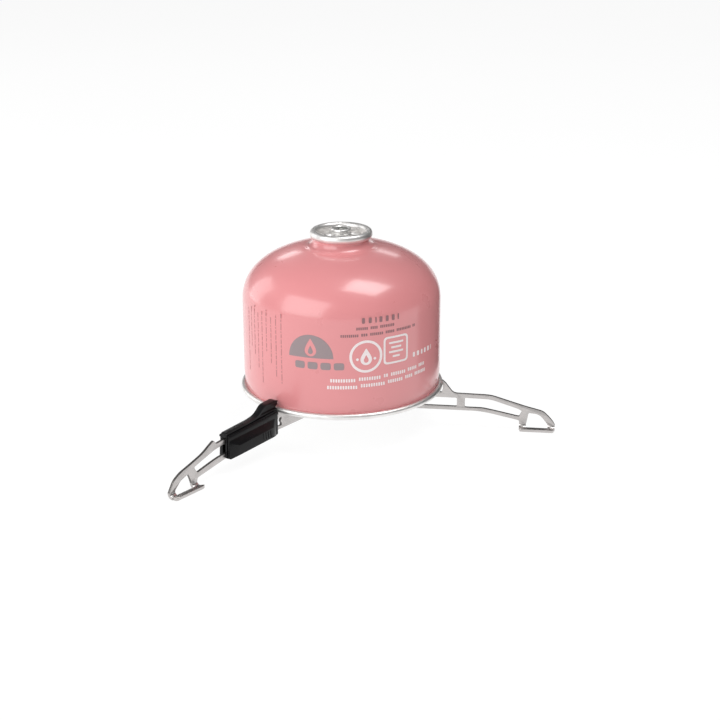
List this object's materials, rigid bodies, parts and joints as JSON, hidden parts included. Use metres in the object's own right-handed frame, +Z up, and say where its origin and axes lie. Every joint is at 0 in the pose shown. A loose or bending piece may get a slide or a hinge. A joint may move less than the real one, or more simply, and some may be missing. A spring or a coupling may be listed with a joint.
{
  "type": "camping gas canister on folding stand",
  "caption": "Domed camping gas canister with a screw valve, clipped by its rolled rim onto a folding stainless tripod stand with a black sliding clamp.",
  "frame": {"origin": "middle of the outline in plan, on the ground under the feet", "axes": "+Z up through the valve, -Y along the fixed leg that carries the clamp, +X towards the right folding leg"},
  "size_m": [0.207, 0.2012, 0.1108],
  "materials": {
    "enamel": "gloss enamel, pink-red",
    "tinplate": "bright bare tinplate",
    "stainless": "stamped stainless sheet, satin",
    "black_nylon": "semi-gloss moulded nylon",
    "acetal": "white moulded acetal",
    "sealing_rubber": "matte",
    "spring_steel": "drawn wire"
  },
  "bodies": {
    "stand_and_canister": {"fixed_leg": "stainless", "pivot_rivet": "stainless", "washer_upper": "stainless", "washer_middle": "stainless", "washer_lower": "stainless", "canister_shell": "enamel", "bottom_end": "tinplate", "seam_compound": "sealing_rubber", "valve_cup": "tinplate", "cup_gasket": "sealing_rubber", "valve_housing": "acetal", "stem_gasket": "sealing_rubber", "valve_spring": "spring_steel"},
    "right_leg": {"right_leg": "stainless"},
    "rear_leg": {"rear_leg": "stainless"},
    "clamp": {"clamp_saddle": "black_nylon", "grip_right": "black_nylon", "grip_left": "black_nylon", "clamp_pin_inner": "stainless", "clamp_pin_outer": "stainless"},
    "valve_stem": {"valve_stem": "acetal"}
  },
  "joints": [
    {"name": "right_leg_fold", "type": "hinge", "parent": "stand_and_canister", "child": "right_leg", "pos_m": [-0.0012, 0.0368, 0.0155], "axis": [0, 0, -1], "range_deg": [0, 112]},
    {"name": "rear_leg_fold", "type": "hinge", "parent": "stand_and_canister", "child": "rear_leg", "pos_m": [-0.0012, 0.0368, 0.0155], "axis": [0, 0, 1], "range_deg": [0, 112]},
    {"name": "clamp_slide", "type": "slide", "parent": "stand_and_canister", "child": "clamp", "axis": [0, -1, 0], "range_m": [0, 0.0055]},
    {"name": "valve_press", "type": "slide", "parent": "stand_and_canister", "child": "valve_stem", "axis": [0, 0, -1], "range_m": [0, 0.002], "stiffness_N_per_m": 2000, "springref_m": -0.003, "deforming": ["valve_spring"]}
  ]
}
